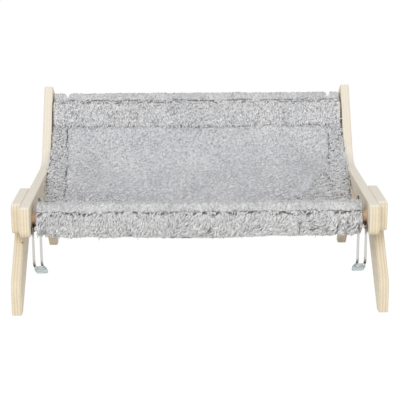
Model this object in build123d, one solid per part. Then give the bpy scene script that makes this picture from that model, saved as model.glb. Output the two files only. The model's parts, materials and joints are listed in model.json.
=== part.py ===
from build123d import *
import os
from math import acos, cos, degrees, pi, radians, sin, tan

# Free-standing cat hammock: two plywood side frames, a plush sling hung from two
# dowels, and a swinging wire hook under the front end of each rail.
# Millimetres, +Z up, X across, -Y to the front. The origin is on the floor, in the
# middle of the frame's width and depth.

# Whole object
overall_depth = 327.0
overall_height = 228.3
inner_width = 404.0
board = 12.0
rail_top = 130.0
edge_round = 1.5
foot_round = 1.6

# Side board: rounded nose, rail, leaning post and rear leg, cut in one piece
nose_setback = 11.0
nose_height = 37.5
nose_round = 9.0
nose_length = 88.0
rail_height = 21.0
ramp_length = 32.0
ramp_round = 22.0
post_lean = 34.2
post_width = 26.0
post_round = 2.5
bend_round = 45.0
rear_foot_back = 24.1
rear_foot_length = 14.0
rear_crotch_share = 0.355
rear_crotch_drop = 18.5
rear_crotch_round = 22.0
back_notch_height = 99.0
back_notch_round = 18.0

# Front leg: its head is lapped on the outside of the nose
head_setback = 28.5
head_length = 85.5
head_height = 36.5
head_round = 8.0
head_rear_round = 5.0
head_rear_slant = 4.0
head_bottom_round = 6.0
foot_length = 11.0
knee_height = 37.0
knee_round = 24.0
leg_front_slope = 45.0
leg_notch_round = 3.5

# Dowels and their countersunk screws
dowel_radius = 9.0
front_dowel_setback = 41.0
front_dowel_drop = 21.5
rear_dowel_below_end = 30.9
screw_radius = 2.5
screw_grip = 28.0
screw_head_radius = 5.0
screw_head_depth = 3.0
screw_head_rim = 0.4
fit_gap = 0.1

# Bolt that holds the leg's head to the rail, its washer and threaded insert
bolt_setback = 104.0
bolt_drop = 17.5
bolt_radius = 2.5
bolt_head_radius = 4.75
bolt_head_height = 2.8
bolt_socket_radius = 1.7
bolt_socket_depth = 1.6
bolt_crown_share = 0.55
bolt_rim_share = 0.35
washer_radius = 6.0
washer_thickness = 1.0
insert_radius = 4.0
insert_length = 10.0
insert_lip = 0.6

# Hook: bent wire with two eyes on a shouldered screw, and a clear sleeve on its toe
wire_radius = 1.5
hook_pin_radius = 1.5
hook_pin_grip = 9.0
hook_pin_head_radius = 3.4
hook_pin_head_height = 2.0
hook_pin_slot = 0.8
hook_pin_slot_depth = 0.9
hook_run_gap = 0.05
hook_side_gap = 0.3
hook_room_gap = 0.5
hook_pin_setback = 29.0
hook_pin_drop = 30.2
hook_width = 9.4
hook_drop = 45.3
hook_bend = 4.5
hook_tip_gap = 0.3
toe_reach = 18.0
toe_inward = 7.0
toe_droop = 1.0
toe_corner = 4.2
sleeve_wall = 0.8
sleeve_length = 13.0
sleeve_corner = 2.4
sleeve_edge = 1.1

# Plush sling: casings round the dowels, an underside sheet, a seat panel and two borders
soft_gap = 0.3
casing_wall = 4.2
casing_corner_share = 0.85
bore_corner_share = 0.98
header_thickness = 13.0
front_header_height = 10.2
rear_header_height = 12.8
header_round = 5.2
pinch_height = 9.6
pinch_round = 2.0
shoulder_height = 7.0
shoulder_round = 7.0
front_slack = 6.5
rear_slack = 13.0
front_casing_end_gap = 6.5
rear_casing_end_gap = 2.5
ruffles = 9
ruffle_depth = 1.6
fold_depth = 2.6
fold_half_width = 5.0
fold_place_shares = [0.855, 0.91]
sheet_end_gap = 2.0
border_width = 20.0
underside_thickness = 4.0
seat_thickness = 4.0
border_thickness = 5.2
back_bend_before_dowel = 55.4
back_bend_height = 138.0
back_bend_round = 130.0
seat_bend_setback = 101.0
seat_bend_height = 84.0
seat_bend_round = 60.0
middle_sag = 15.0
back_sag_share = 0.8
sheet_inset_share = 0.3
station_shares = [0.0, 0.4, 0.7, 0.9, 1.0]

# Places that follow from the sizes above
front_y = -overall_depth / 2
nose_y = front_y + nose_setback
head_y = front_y + head_setback
half_inner = inner_width / 2
half_rail = half_inner + board
half_outer = half_rail + board
lean = radians(post_lean)
post_up = (sin(lean), cos(lean))
post_back = (cos(lean), -sin(lean))
post_run = (overall_height - rail_top) / post_up[1]
post_top = (overall_depth / 2 - post_width * post_back[0], overall_height)
bend_y = post_top[0] - post_run * post_up[0]
front_dowel = (front_y + front_dowel_setback, rail_top - front_dowel_drop)
rear_dowel = (
    post_top[0] + post_back[0] * post_width / 2 - post_up[0] * rear_dowel_below_end,
    post_top[1] + post_back[1] * post_width / 2 - post_up[1] * rear_dowel_below_end,
)
leg_bolt = (front_y + bolt_setback, rail_top - bolt_drop)
hook_pin = (front_y + hook_pin_setback, rail_top - hook_pin_drop)
eye_radius = hook_pin_radius + hook_run_gap + wire_radius
outer_rod_x = half_inner - hook_side_gap - wire_radius
inner_rod_x = outer_rod_x - hook_width
pin_head_x = inner_rod_x - wire_radius - hook_side_gap
casing_radius = dowel_radius + soft_gap + casing_wall


def along(point, direction, distance):
    """The point moved by a distance along a direction."""
    return tuple(p + d * distance for p, d in zip(point, direction))


def side_face(points, radii, x=0.0):
    """A closed outline in (y, z) with rounded corners, as a face at the given x."""
    spots = [(x, y, z) for y, z in points]
    return make_face(FilletPolyline(*spots, radius=radii, close=True))


def soften(solid):
    """The board with the edges of its two flat faces rounded over."""
    flat_edges = solid.faces().filter_by(Axis.X).edges()
    outline_edges = [edge for edge in flat_edges if not is_hole(edge)]
    return fillet(outline_edges, edge_round)


def is_hole(edge):
    """True for an edge that is a full circle."""
    return edge.geom_type == GeomType.CIRCLE and edge.is_closed


def rod_x(radius, x_from, x_to, spot):
    """A round rod along X between two places, centred on spot (y, z)."""
    plane = Plane(origin=(x_from, *spot), z_dir=(1, 0, 0))
    return extrude(plane * Circle(radius), amount=x_to - x_from)


def turned_x(profile, spot):
    """A profile of (x, radius) points turned round the X axis through spot (y, z)."""
    spots = [(x, radius, 0) for x, radius in profile]
    face = make_face(Polyline(*spots, close=True))
    return Pos(0, *spot) * revolve(face, Axis.X)


def mirrored(solid):
    """The same solid on the left side."""
    return mirror(solid, about=Plane.YZ)


def both_sides(solid):
    """The right-hand solid and its mirror image as one group."""
    return Compound(children=[solid, mirrored(solid)])


def side_board():
    """Nose, rail, leaning post and rear leg of the right side, with its holes."""
    ramp_start = nose_y + nose_length
    ramp_end = ramp_start + ramp_length
    back_line = along((bend_y, rail_top), post_back, post_width)
    notch_run = (back_line[1] - back_notch_height) / post_up[1]
    back_notch = along(back_line, post_up, -notch_run)
    foot_rear = -front_y - rear_foot_back
    foot_front = foot_rear - rear_foot_length
    outline = [
        (nose_y, rail_top),
        (bend_y, rail_top),
        post_top,
        along(post_top, post_back, post_width),
        back_notch,
        (foot_rear, 0),
        (foot_front, 0),
        (ramp_end + (foot_front - ramp_end) * rear_crotch_share, rail_top - rear_crotch_drop),
        (ramp_end, rail_top - rail_height),
        (ramp_start, rail_top - nose_height),
        (nose_y, rail_top - nose_height),
    ]
    radii = [
        nose_round,
        bend_round,
        post_round,
        post_round,
        back_notch_round,
        foot_round,
        foot_round,
        rear_crotch_round,
        ramp_round,
        ramp_round,
        nose_round,
    ]
    solid = soften(extrude(side_face(outline, radii, half_inner), amount=board, dir=(1, 0, 0)))
    hole = screw_radius + fit_gap
    solid -= rod_x(hole, half_inner, half_rail, front_dowel)
    solid -= rod_x(hole, half_inner, half_rail, rear_dowel)
    solid -= turned_x(countersink(half_rail, fit_gap), rear_dowel)
    solid -= rod_x(bolt_radius + fit_gap, half_inner, half_rail, leg_bolt)
    pin_depth = hook_pin_grip + fit_gap
    solid -= rod_x(hook_pin_radius + fit_gap, half_inner, half_inner + pin_depth, hook_pin)
    return solid


def front_leg():
    """Right front leg: rounded head, notch under it, knee and a narrow foot."""
    head_bottom = rail_top - head_height
    foot_rear = front_y + foot_length
    notch_y = front_y + (head_bottom - knee_height) / tan(radians(leg_front_slope))
    outline = [
        (head_y, rail_top),
        (head_y + head_length, rail_top),
        (head_y + head_length + head_rear_slant, head_bottom),
        (foot_rear, 0),
        (front_y, 0),
        (front_y, knee_height),
        (notch_y, head_bottom),
        (head_y, head_bottom),
    ]
    radii = [
        head_round,
        head_rear_round,
        head_rear_round,
        foot_round,
        foot_round,
        knee_round,
        leg_notch_round,
        head_bottom_round,
    ]
    solid = soften(extrude(side_face(outline, radii, half_rail), amount=board, dir=(1, 0, 0)))
    solid -= rod_x(screw_radius + fit_gap, half_rail, half_outer, front_dowel)
    solid -= turned_x(countersink(half_outer, fit_gap), front_dowel)
    insert_end = half_rail + insert_length + fit_gap
    solid -= rod_x(insert_radius + fit_gap, half_rail, insert_end, leg_bolt)
    return solid


def countersink(face_x, gap):
    """Profile of a countersunk head that ends flush with the face at face_x."""
    shank = screw_radius + gap
    head = screw_head_radius + gap
    return [
        (face_x - screw_head_depth - gap, 0),
        (face_x - screw_head_depth - gap, shank),
        (face_x - screw_head_rim - gap, head),
        (face_x, head),
        (face_x, 0),
    ]


def dowel(spot):
    """Dowel between the side boards, with a pilot hole in each end."""
    solid = rod_x(dowel_radius, -half_inner, half_inner, spot)
    depth = screw_grip + fit_gap
    hole = screw_radius + fit_gap
    solid -= rod_x(hole, half_inner - depth, half_inner, spot)
    solid -= rod_x(hole, -half_inner, -half_inner + depth, spot)
    return solid


def dowel_screw(face_x, spot):
    """Countersunk screw from the face at face_x into the right end of a dowel."""
    tip = half_inner - screw_grip
    solid = rod_x(screw_radius, tip, face_x - screw_head_depth, spot)
    solid += turned_x(countersink(face_x, 0), spot)
    socket = hex_socket(face_x - bolt_socket_depth, spot, bolt_socket_depth)
    return solid - socket


def hex_socket(x, spot, depth):
    """Hexagonal key socket that runs along X from x."""
    plane = Plane(origin=(x, *spot), z_dir=(1, 0, 0))
    return extrude(plane * RegularPolygon(bolt_socket_radius, 6), amount=depth)


def bolt_parts():
    """Leg bolt, washer and insert of the right side."""
    head_base = half_inner - washer_thickness
    head_top = head_base - bolt_head_height
    crown = bolt_head_radius * bolt_crown_share
    profile = [
        (head_top, 0),
        (head_top, crown),
        (head_base - bolt_head_height * bolt_rim_share, bolt_head_radius),
        (head_base, bolt_head_radius),
        (head_base, bolt_radius),
        (half_rail + insert_length - insert_lip, bolt_radius),
        (half_rail + insert_length - insert_lip, 0),
    ]
    bolt = turned_x(profile, leg_bolt) - hex_socket(head_top, leg_bolt, bolt_socket_depth)
    washer = rod_x(washer_radius, head_base, half_inner, leg_bolt)
    washer -= rod_x(bolt_radius + fit_gap, head_base, half_inner, leg_bolt)
    insert = rod_x(insert_radius, half_rail, half_rail + insert_length, leg_bolt)
    insert -= rod_x(bolt_radius + fit_gap, half_rail, half_rail + insert_length, leg_bolt)
    return bolt, washer, insert


def hook_pin_screw():
    """Shouldered screw that both eyes of the right hook swing on."""
    head_end = pin_head_x - hook_pin_head_height
    solid = rod_x(hook_pin_radius, pin_head_x, half_inner + hook_pin_grip, hook_pin)
    solid += rod_x(hook_pin_head_radius, head_end, pin_head_x, hook_pin)
    slot = Box(hook_pin_slot_depth, hook_pin_slot, hook_pin_head_radius * 2)
    return solid - Pos(head_end + hook_pin_slot_depth / 2, *hook_pin) * slot


def hook_points():
    """Corners of the right hook's wire, from the outer eye round the toe to the inner eye."""
    rod_y = hook_pin[0] - eye_radius
    bend_z = hook_pin[1] - hook_drop
    toe_y = rod_y - toe_reach
    toe_z = bend_z - toe_droop
    return [
        (outer_rod_x, rod_y, hook_pin[1]),
        (outer_rod_x, rod_y, bend_z),
        (outer_rod_x - toe_inward, toe_y, toe_z),
        (inner_rod_x - toe_inward, toe_y, toe_z),
        (inner_rod_x, rod_y, bend_z),
        (inner_rod_x, rod_y, hook_pin[1]),
    ]


def hook_eye(x):
    """Arc of the eye at x, which bends round the pin until its tip is back at the rod."""
    opening = degrees(acos(1 - (2 * wire_radius + hook_tip_gap) / eye_radius))
    plane = Plane(origin=(x, *hook_pin), x_dir=(0, -1, 0), z_dir=(1, 0, 0))
    return plane * CenterArc((0, 0), eye_radius, opening, 360 - opening)


def hook_wire(radius):
    """Right hook's wire, bent in one piece: an eye, a rod, the toe, a rod and an eye."""
    corners = [hook_bend, toe_corner, toe_corner, hook_bend]
    bent = FilletPolyline(*hook_points(), radius=corners)
    eyes = [hook_eye(outer_rod_x), hook_eye(inner_rod_x)]
    path = Wire([*eyes, *bent.edges()])
    start = Plane(origin=path @ 0, z_dir=path % 0)
    return sweep(start * Circle(radius), path=path)


def hook_sleeve():
    """Clear sleeve pushed over the toe of the right hook."""
    points = [Vector(*spot) for spot in hook_points()]
    front_outer, front_inner = points[2], points[3]
    run = (front_outer - points[1]).normalized()
    across = Vector(1, 0, 0)
    margin = wire_radius + sleeve_wall
    spread = margin / run.cross(across).length
    front = run * spread
    back = run * -sleeve_length
    outline = [
        front_outer + front + across * spread,
        front_inner + front - across * spread,
        front_inner + back - across * spread,
        front_outer + back + across * spread,
    ]
    face = make_face(FilletPolyline(*outline, radius=sleeve_corner, close=True))
    normal = run.cross(across).normalized()
    slab = extrude(face, amount=margin, dir=normal, both=True)
    rims = slab.faces().filter_by(Plane(origin=front_outer, z_dir=normal)).edges()
    return fillet(rims, sleeve_edge) - hook_wire(wire_radius + fit_gap)


def casing_outline(header_height, slack, drop, bulge):
    """Outline of a casing in (back, up) of its dowel: header, pinch and hanging pocket."""
    half = header_thickness / 2
    top = pinch_height + header_height
    bottom = -slack - casing_radius - drop
    front = -casing_radius - bulge
    corner = casing_radius * casing_corner_share
    points = [
        (-half, top),
        (half, top),
        (half, pinch_height),
        (casing_radius, shoulder_height),
        (casing_radius, bottom),
        (front, bottom),
        (front, shoulder_height),
        (-half, pinch_height),
    ]
    radii = [
        header_round,
        header_round,
        pinch_round,
        shoulder_round,
        corner,
        corner,
        shoulder_round,
        pinch_round,
    ]
    return points, radii


def placed_face(points, radii, spot, back, up, x):
    """An outline given in (back, up) of spot, as a face at x."""
    spots = [(spot[0] + u * back[0] + v * up[0], spot[1] + u * back[1] + v * up[1]) for u, v in points]
    return side_face(spots, radii, x)


def casing_bore(slack, spot, back, up, half_length):
    """The space inside a casing: the dowel and the slack that hangs under it."""
    radius = dowel_radius + soft_gap
    points = [(-radius, radius), (radius, radius), (radius, -slack - radius), (-radius, -slack - radius)]
    corners = [radius * bore_corner_share] * len(points)
    face = placed_face(points, corners, spot, back, up, -half_length)
    return extrude(face, amount=2 * half_length, dir=(1, 0, 0))


def front_casing():
    """Ruffled casing round the front dowel, with two deep folds near its right end."""
    half_length = half_inner - front_casing_end_gap
    folds = [share * half_length for share in fold_place_shares]
    places = [half_length * (i / ruffles - 1) for i in range(2 * ruffles + 1)]
    near_folds = [x for x in places if min(abs(x - f) for f in folds) > fold_half_width]
    fold_places = [f + step * fold_half_width for f in folds for step in (-1, 0, 1)]
    sections = []
    for x in sorted(near_folds + fold_places):
        swell = ruffle_depth * (1 - cos(pi * ruffles * (x / half_length + 1))) / 2
        if x in folds:
            swell = -fold_depth
        points, radii = casing_outline(front_header_height, front_slack, swell / 2, swell)
        sections.append(placed_face(points, radii, front_dowel, (1, 0), (0, 1), x))
    solid = loft(sections, ruled=True)
    room = hook_room()
    solid -= [room, mirrored(room)]
    return solid - casing_bore(front_slack, front_dowel, (1, 0), (0, 1), half_length)


def hook_room():
    """Space beside the right hook, up to just over its eyes, that the front casing leaves free."""
    inner_x = pin_head_x - hook_pin_head_height - hook_room_gap
    top = hook_pin[1] + eye_radius + wire_radius + hook_room_gap
    room = Box(half_inner - inner_x, overall_depth, top)
    return Pos((half_inner + inner_x) / 2, 0, top / 2) * room


def rear_casing():
    """Casing round the rear dowel, which leans with the posts."""
    half_length = half_inner - rear_casing_end_gap
    points, radii = casing_outline(rear_header_height, rear_slack, 0, 0)
    face = placed_face(points, radii, rear_dowel, post_back, post_up, -half_length)
    solid = extrude(face, amount=2 * half_length, dir=(1, 0, 0))
    return solid - casing_bore(rear_slack, rear_dowel, post_back, post_up, half_length)


def sag_at(x):
    """How much lower the sling hangs at x than at its side edges."""
    half_width = half_inner - sheet_end_gap
    stations = [share * half_width for share in station_shares]
    sags = [middle_sag * (1 - share * share) for share in station_shares]
    for near, far, low, high in zip(stations, stations[1:], sags, sags[1:]):
        if abs(x) <= far:
            return low + (high - low) * (abs(x) - near) / (far - near)
    return sags[-1]


def sheet_line(x):
    """Corners of the sling's line in (y, z) at x, from the rear casing to the front one."""
    sag = sag_at(x)
    rear_drop = rear_slack + casing_radius * (1 - sheet_inset_share)
    rear_end = along(rear_dowel, post_up, -rear_drop)
    back_bend = (rear_dowel[0] - back_bend_before_dowel, back_bend_height - sag * back_sag_share)
    seat_bend = (front_y + seat_bend_setback, seat_bend_height - sag)
    front_end = (front_dowel[0] + casing_radius * (1 - sheet_inset_share), front_dowel[1] - front_slack)
    return [rear_end, back_bend, seat_bend, front_end]


def lifted(points, height):
    """A line of (y, z) points moved square to itself, upwards by height."""
    normals = []
    for start, end in zip(points, points[1:]):
        run = Vector(start[0] - end[0], start[1] - end[1])
        normals.append(Vector(-run.Y, run.X).normalized())
    normals = [normals[0], *normals, normals[-1]]
    moved = []
    for point, before, after in zip(points, normals, normals[1:]):
        shift = (before + after) * (height / (1 + before.dot(after)))
        moved.append((point[0] + shift.X, point[1] + shift.Y))
    return moved


def sheet_face(x, low, high):
    """Section of a sheet at x, between two heights over the sling's line."""
    line = sheet_line(x)
    outline = lifted(line, high) + lifted(line, low)[::-1]
    bends = [back_bend_round, seat_bend_round]
    above = [bend - high for bend in bends]
    below = [bend - low for bend in bends][::-1]
    return side_face(outline, [0, *above, 0, 0, *below, 0], x)


def sheet(x_from, x_to, low, high):
    """Part of the sling between two places across it, cut clear of both casings."""
    half_width = half_inner - sheet_end_gap
    stations = {side * share * half_width for share in station_shares for side in (-1, 1)}
    inner = [x for x in stations if x_from < x < x_to]
    sections = [sheet_face(x, low, high) for x in sorted([x_from, x_to, *inner])]
    solid = loft(sections, ruled=True)
    solid -= casing_room(front_slack, ruffle_depth, front_dowel, (1, 0), (0, 1))
    return solid - casing_room(rear_slack, 0, rear_dowel, post_back, post_up)


def casing_room(slack, ruffle, spot, back, up):
    """Everything that a sheet keeps clear of round a casing, with the soft gap added."""
    reach = casing_radius + soft_gap
    bottom = -slack - reach - ruffle / 2
    points = [(-reach - ruffle, reach), (reach, reach), (reach, bottom), (-reach - ruffle, bottom)]
    corners = [casing_radius * casing_corner_share + soft_gap] * len(points)
    face = placed_face(points, corners, spot, back, up, -half_inner)
    return extrude(face, amount=inner_width, dir=(1, 0, 0))


def sling_sheets():
    """Underside, seat panel and right border of the sling."""
    edge = half_inner - sheet_end_gap
    seam = edge - border_width
    base = soft_gap
    underside = sheet(-edge, edge, -underside_thickness, 0)
    seat = sheet(-seam + soft_gap, seam - soft_gap, base, base + seat_thickness)
    border = sheet(seam, edge, base, base + border_thickness)
    return underside, seat, border


def all_nodes():
    """Every node's name and its shape."""
    board_solid = side_board()
    leg = front_leg()
    bolt, washer, insert = bolt_parts()
    pin = hook_pin_screw()
    wire = hook_wire(wire_radius)
    sleeve = hook_sleeve()
    underside, seat, border = sling_sheets()
    pairs = {
        "side_board": board_solid,
        "front_leg": leg,
        "hook_pin": pin,
        "hook": wire,
        "hook_sleeve": sleeve,
        "sling_border": border,
    }
    nodes = {f"right_{name}": solid for name, solid in pairs.items()}
    nodes.update({f"left_{name}": mirrored(solid) for name, solid in pairs.items()})
    nodes["front_dowel"] = dowel(front_dowel)
    nodes["rear_dowel"] = dowel(rear_dowel)
    nodes["front_dowel_screws"] = both_sides(dowel_screw(half_outer, front_dowel))
    nodes["rear_dowel_screws"] = both_sides(dowel_screw(half_rail, rear_dowel))
    nodes["leg_bolts"] = both_sides(bolt)
    nodes["leg_bolt_washers"] = both_sides(washer)
    nodes["leg_inserts"] = both_sides(insert)
    nodes["front_casing"] = front_casing()
    nodes["rear_casing"] = rear_casing()
    nodes["sling_underside"] = underside
    nodes["sling_seat_panel"] = seat
    return nodes


os.makedirs("parts", exist_ok=True)
for node, shape in all_nodes().items():
    export_step(shape, f"parts/{node}.step")
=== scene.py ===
import bmesh
import bpy
import json
import math
import numpy as np
from mathutils import Matrix, Vector

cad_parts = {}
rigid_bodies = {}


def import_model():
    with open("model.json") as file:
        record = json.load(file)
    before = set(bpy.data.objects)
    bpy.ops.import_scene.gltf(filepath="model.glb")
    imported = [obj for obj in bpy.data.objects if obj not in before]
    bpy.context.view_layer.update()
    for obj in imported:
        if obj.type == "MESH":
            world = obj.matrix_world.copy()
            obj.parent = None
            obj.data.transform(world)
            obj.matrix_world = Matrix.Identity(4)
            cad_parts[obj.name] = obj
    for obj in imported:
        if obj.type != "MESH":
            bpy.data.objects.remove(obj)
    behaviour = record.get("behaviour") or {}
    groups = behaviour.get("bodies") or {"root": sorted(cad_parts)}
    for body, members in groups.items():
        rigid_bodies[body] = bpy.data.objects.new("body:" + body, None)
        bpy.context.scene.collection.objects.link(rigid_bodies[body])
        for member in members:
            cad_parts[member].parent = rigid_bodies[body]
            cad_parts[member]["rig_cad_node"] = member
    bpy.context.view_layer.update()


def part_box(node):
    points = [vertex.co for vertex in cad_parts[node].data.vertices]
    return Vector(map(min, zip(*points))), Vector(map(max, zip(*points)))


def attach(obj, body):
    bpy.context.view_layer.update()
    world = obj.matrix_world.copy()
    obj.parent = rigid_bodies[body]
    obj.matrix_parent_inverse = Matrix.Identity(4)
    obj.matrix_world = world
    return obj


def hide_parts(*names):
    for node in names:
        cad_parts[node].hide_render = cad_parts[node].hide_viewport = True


# Cat hammock: two plywood side frames, a plush sling hung from two dowels and two wire hooks.
# Metres, +Z up, X across, -Y to the front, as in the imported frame.

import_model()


def centre(node):
    """The middle of a node's box."""
    return [sum(pair) / 2 for pair in zip(*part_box(node))]


# Camera, fitted to the corners of the boards in the picture
camera_place = (-0.0143, -1.4628, 0.4873)
camera_yaw = math.radians(-0.64)
camera_pitch = math.radians(14.88)
camera_roll = math.radians(-0.30)
focal_pixels = 1150.0
picture_pixels = 400.0
sensor_width = 36.0

# Light and floor. Each lamp has a name, place, aim, size, power and colour.
sky_strength = 0.60
floor_half = 6.0
floor_colour = (0.94, 0.94, 0.90)
floor_glow, floor_glow_share = 1.02, 0.97
lamps = (
    ("key_light", (-0.5, -1.9, 1.50), (0, 0, 0.12), 1.5, 26.0, (1.0, 0.99, 0.97)),
    ("fill_light", (1.3, -1.8, 0.7), (0, 0, 0.12), 1.4, 5.5, (0.98, 0.99, 1.0)),
    ("low_light", (0.0, -1.9, 0.25), (0, 0, 0.10), 1.2, 1.0, (1.0, 0.99, 0.97)),
)

# Places read from the frame, and how far the posts lean back
board_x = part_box("right_side_board")[0][0]
front_dowel = centre("front_dowel")
rear_dowel = centre("rear_dowel")
dowel_radius = (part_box("front_dowel")[1][2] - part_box("front_dowel")[0][2]) / 2
post_lean = math.radians(34.2)

# Wood: the layers of a board, and one small knot on the left leg
board_thickness = 0.012
ply_count = 7.0
knot_x, knot_z = -0.2155, 0.0790
knot_width, knot_height = 0.0022, 0.0014

# Sling
sheet_half = board_x - 0.002
seam_x = board_x - 0.022
cloth_gap = 0.0003
underside_thickness = 0.004
seat_thickness = 0.004
border_thickness = 0.0052
middle_sag = 0.015
back_sag_share = 0.8
back_bend = (rear_dowel[1] - 0.0554, 0.138)
seat_bend = (front_dowel[1] + 0.060, 0.084)
back_bend_reach = 0.0255
seat_bend_reach = 0.0214
rear_seam_drop = 0.0252
front_seam = (0.0127, -0.0080)
sling_length = 0.262

# The right seam's share along the sling, and its place along X at each
right_seam_line = (
    (0.0, 0.15, 0.25, 0.30, 0.345, 0.39, 0.45, 0.50, 0.535, 0.57, 0.61, 0.70, 1.0),
    (0.1830, 0.1815, 0.1790, 0.1768, 0.1705, 0.1625, 0.1545, 0.1480, 0.1340, 0.1180, 0.1110,
     0.1120, 0.1250),
)

# Soft hollows of the seat, darkened as painted shade: how dark, then the middle and reach along X,
# and along the sling
seat_hollows = (
    (1.0, -0.150, 0.024, 0.48, 0.22), (1.0, 0.161, 0.014, 0.24, 0.14),
    (0.6, 0.090, 0.034, 0.44, 0.22), (0.6, -0.105, 0.045, 0.56, 0.10),
)

# Casings, with lengths along back and up from a dowel's middle. Each deep fold has its place along
# X and its bow. The outlines go from the top of the header down the front.
front_half = board_x - 0.0070
rear_half = board_x - 0.0030
hook_room = board_x - 0.0172
hook_rod = board_x - 0.0165
swing_line = -0.0190
bore_radius = dowel_radius + 0.0003
bore_inset = 0.0015
end_turn, end_swell = 0.22, 0.0016
pinch_up = 0.0093
roll_up = -0.015
rear_hem_up = -0.0268
casing_spacing = 0.0012
casing_lock = 0.0040
casing_pile_spacing = 0.00215
deep_folds = ((0.1669, 0.0012), (0.1777, -0.0010))
ruffle_height, crease_depth, deep_fold_depth = 0.0010, 0.0017, 0.0046
notch_places = (-0.1818, 0.1845)
notch_depth = 0.0105
front_outline = np.array([
    (0, 19.4), (-4.6, 18.4), (-6.6, 15.4), (-7.0, 12.0), (-6.9, 9.3), (-9.6, 7.4), (-12.3, 3.4),
    (-13.0, -2.0), (-12.8, -10.0), (-10.4, -16.4), (-4.5, -19.4), (3.0, -19.4), (9.8, -16.6),
    (12.9, -9.0), (13.1, 0), (11.2, 5.4), (8.8, 8.1), (6.9, 9.3), (7.0, 12.0), (6.6, 15.4),
    (4.6, 18.4),
]) / 1000
rear_outline = np.array([
    (0, 22.2), (-4.4, 21.3), (-6.2, 18.4), (-6.8, 14.0), (-6.9, 9.3), (-9.6, 7.4), (-12.0, 3.4),
    (-12.7, -2.0), (-12.2, -10.0), (-10.4, -18.0), (-8.2, -24.0), (-6.3, -26.3), (-2.0, -26.4),
    (4.5, -25.2), (10.2, -20.0), (12.8, -11.0), (13.1, -1.0), (11.2, 5.0), (8.8, 8.1), (6.9, 9.3),
    (6.8, 14.0), (6.2, 18.4), (4.4, 21.3),
]) / 1000

# Rings of a lock, each as place along it, width, tone of its ridge, and tone of its sides
# The darker sides and root of each lock are painted shade between the locks.
long_steps = (
    (0.0, 0.75, 0.50, 0.26), (0.3, 1.0, 0.84, 0.54), (0.68, 0.8, 0.90, 0.66), (1.0, 0.0, 0.88, 0))
pale_steps = (
    (0.0, 0.75, 0.66, 0.38), (0.3, 1.0, 0.90, 0.76), (0.68, 0.8, 0.93, 0.86), (1.0, 0.0, 0.93, 0))
short_steps = ((0.0, 0.9, 0.38, 0.28), (0.5, 1.0, 0.88, 0.74), (1.0, 0.0, 0.93, 0))
root_depth = 0.0004


def hashed(i, j, seed):
    """A fixed number from 0 to 1 for each pair of whole numbers, from an integer hash of both."""
    h = (i * 73856093) ^ (j * 19349663) ^ (seed * 83492791)
    h = ((h ^ (h >> 13)) * 1274126177) & 0xFFFFFFFF
    h = ((h ^ (h >> 16)) * 2246822519) & 0xFFFFFFFF
    return ((h ^ (h >> 15)) & 0xFFFFFF) / 0xFFFFFF


def clouds(u, v, size, seed):
    """Smooth noise from -1 to 1: hashed values on a lattice of the given size, blended by
    3t² - 2t³."""
    i, j = np.floor(u / size).astype(np.int64), np.floor(v / size).astype(np.int64)
    s, t = u / size - i, v / size - j
    s, t = s * s * (3 - 2 * s), t * t * (3 - 2 * t)
    low = hashed(i, j, seed) * (1 - s) + hashed(i + 1, j, seed) * s
    high = hashed(i, j + 1, seed) * (1 - s) + hashed(i + 1, j + 1, seed) * s
    return 2 * (low * (1 - t) + high * t) - 1


def locks(u, v, size, seed):
    """Curled pile. Each lattice cell holds one lock, a dome stretched along its own angle, on
    coordinates bent by clouds. Gives the tallest dome's height at each point, from 0 to about 1,
    and how far it stands over the next one, which is 0 in the crease between two locks."""
    bent_u = u + 0.6 * size * clouds(u, v, 2.7 * size, seed + 1)
    bent_v = v + 0.6 * size * clouds(u, v, 2.7 * size, seed + 2)
    i0, j0 = np.floor(bent_u / size).astype(np.int64), np.floor(bent_v / size).astype(np.int64)
    tallest = np.zeros_like(u)
    second = np.zeros_like(u)
    for di in (-2, -1, 0, 1, 2):
        for dj in (-2, -1, 0, 1, 2):
            i, j = i0 + di, j0 + dj
            across = (i + hashed(i, j, seed + 3)) * size - bent_u
            along = (j + hashed(i, j, seed + 4)) * size - bent_v
            turn = math.tau * hashed(i, j, seed + 5)
            a = across * np.cos(turn) + along * np.sin(turn)
            b = along * np.cos(turn) - across * np.sin(turn)
            dome = 1 - (a / (1.55 * size)) ** 2 - (b / (0.66 * size)) ** 2
            dome = np.sqrt(np.maximum(dome, 0)) * (0.72 + 0.28 * hashed(i, j, seed + 6))
            second = np.maximum(second, np.minimum(tallest, dome))
            tallest = np.maximum(tallest, dome)
    return tallest, tallest - second


def smooth_loop(corners, count):
    """A closed Catmull-Rom curve through the corners, as points spaced evenly by length."""
    n = len(corners)
    t = np.arange(n * 24) / 24
    i, f = np.floor(t).astype(int), (t % 1)[:, None]
    p0, p1, p2, p3 = (corners[(i + k) % n] for k in (-1, 0, 1, 2))
    curve = p1 + f * (p2 - p0) / 2 + f**2 * (p0 - 2.5 * p1 + 2 * p2 - p3 / 2)
    curve = curve + f**3 * (1.5 * (p1 - p2) + (p3 - p0) / 2)
    curve = np.vstack([curve, curve[:1]])
    length = np.concatenate([[0], np.cumsum(np.linalg.norm(np.diff(curve, axis=0), axis=1))])
    place = np.linspace(0, length[-1], count, endpoint=False)
    return np.stack([np.interp(place, length, curve[:, k]) for k in (0, 1)], axis=1), place


def unit(vectors):
    """The vectors at length 1."""
    return vectors / np.maximum(np.linalg.norm(vectors, axis=-1, keepdims=True), 1e-12)


def turned_out(points):
    """Unit normals of a casing's (rings, round, 3) grid, turned away from its own middle line: the
    cross product of the differences of each point's neighbours. The grid is first carried on past
    both ends by one ring in line."""
    padded = np.concatenate([2 * points[:1] - points[1:2], points, 2 * points[-1:] - points[-2:-1]])
    along = np.roll(padded, -1, 0) - np.roll(padded, 1, 0)
    around = np.roll(padded, -1, 1) - np.roll(padded, 1, 1)
    normal = unit(np.cross(along, around))
    middle = padded.mean(1, keepdims=True)
    sign = np.sign((normal * (padded - middle)).sum())
    return (normal * sign)[1:-1]


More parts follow.
